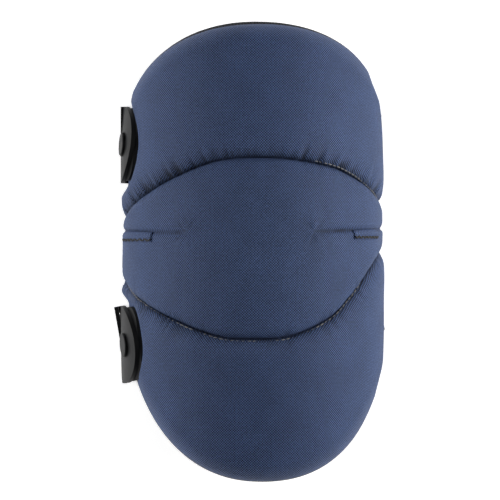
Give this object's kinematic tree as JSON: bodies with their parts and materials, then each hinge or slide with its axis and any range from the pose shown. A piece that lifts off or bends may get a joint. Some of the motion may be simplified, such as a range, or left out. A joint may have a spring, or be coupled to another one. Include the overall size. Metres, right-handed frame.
{
  "type": "knee pad",
  "caption": "Soft quilted knee pad with a curved padded shell, darted waist, snap studs on one side and elastic straps behind.",
  "frame": {"origin": "on the surface the straps rest on, under the middle of the pad's outline box", "axes": "+X across the pad to the wearer's plain side, away from the snap studs; +Y along the leg towards the thigh; +Z out of the knee"},
  "size_m": [0.1414, 0.24, 0.08],
  "materials": {
    "cover_nylon": "matte",
    "core_foam": "matte",
    "comfort_foam": "matte",
    "liner_mesh": "matte",
    "binding_tape": "matte",
    "sewing_thread": "matte",
    "strap_elastic": "matte",
    "moulded_plastic": "satin",
    "snap_steel": "satin",
    "cap_plastic": "satin"
  },
  "bodies": {
    "pad_knee": {"knee_cover": "cover_nylon", "knee_core_foam": "core_foam", "knee_comfort_foam": "comfort_foam", "knee_liner": "liner_mesh", "knee_binding_left": "binding_tape", "knee_binding_right": "binding_tape", "dart_fold_left": "cover_nylon", "dart_fold_right": "cover_nylon", "dart_flap_left": "cover_nylon", "dart_flap_right": "cover_nylon", "thigh_quilting_thread": "sewing_thread", "shin_quilting_thread": "sewing_thread"},
    "pad_thigh": {"thigh_cover": "cover_nylon", "thigh_core_foam": "core_foam", "thigh_comfort_foam": "comfort_foam", "thigh_liner": "liner_mesh", "thigh_binding": "binding_tape", "upper_stud_plate": "moulded_plastic", "upper_snap_stud": "snap_steel", "upper_stud_rivet": "snap_steel", "upper_strap": "strap_elastic", "upper_strap_anchor": "binding_tape"},
    "pad_shin": {"shin_cover": "cover_nylon", "shin_core_foam": "core_foam", "shin_comfort_foam": "comfort_foam", "shin_liner": "liner_mesh", "shin_binding": "binding_tape", "lower_stud_plate": "moulded_plastic", "lower_snap_stud": "snap_steel", "lower_stud_rivet": "snap_steel", "lower_strap": "strap_elastic", "lower_strap_anchor": "binding_tape"},
    "upper_tab": {"upper_strap_tab": "moulded_plastic", "upper_snap_socket": "snap_steel", "upper_snap_cap": "cap_plastic"},
    "upper_adjuster": {"upper_slider": "moulded_plastic", "upper_strap_return": "strap_elastic"},
    "lower_tab": {"lower_strap_tab": "moulded_plastic", "lower_snap_socket": "snap_steel", "lower_snap_cap": "cap_plastic"},
    "lower_adjuster": {"lower_slider": "moulded_plastic", "lower_strap_return": "strap_elastic"}
  },
  "joints": [
    {"name": "thigh_flex", "type": "hinge", "parent": "pad_knee", "child": "pad_thigh", "pos_m": [0.00002, 0.02494, 0.005], "axis": [0.9976, 0.0698, 0], "range_deg": [-8, 4], "stiffness_Nm_per_rad": 3},
    {"name": "shin_flex", "type": "hinge", "parent": "pad_knee", "child": "pad_shin", "pos_m": [0.00225, -0.00698, 0.005], "axis": [-0.9976, -0.0698, 0], "range_deg": [-8, 4], "stiffness_Nm_per_rad": 3},
    {"name": "upper_tab_peel", "type": "hinge", "parent": "pad_thigh", "child": "upper_tab", "pos_m": [-0.06424, 0.056, 0.0022], "axis": [0, -1, 0], "range_deg": [0, 75]},
    {"name": "upper_slider_slide", "type": "slide", "parent": "pad_thigh", "child": "upper_adjuster", "axis": [1, 0, 0], "range_m": [-0.01, 0.025]},
    {"name": "lower_tab_peel", "type": "hinge", "parent": "pad_shin", "child": "lower_tab", "pos_m": [-0.06427, -0.04814, 0.0022], "axis": [0.1736, -0.9848, 0], "range_deg": [0, 75]},
    {"name": "lower_slider_slide", "type": "slide", "parent": "pad_shin", "child": "lower_adjuster", "axis": [0.9848, 0.1736, 0], "range_m": [-0.01, 0.025]}
  ]
}
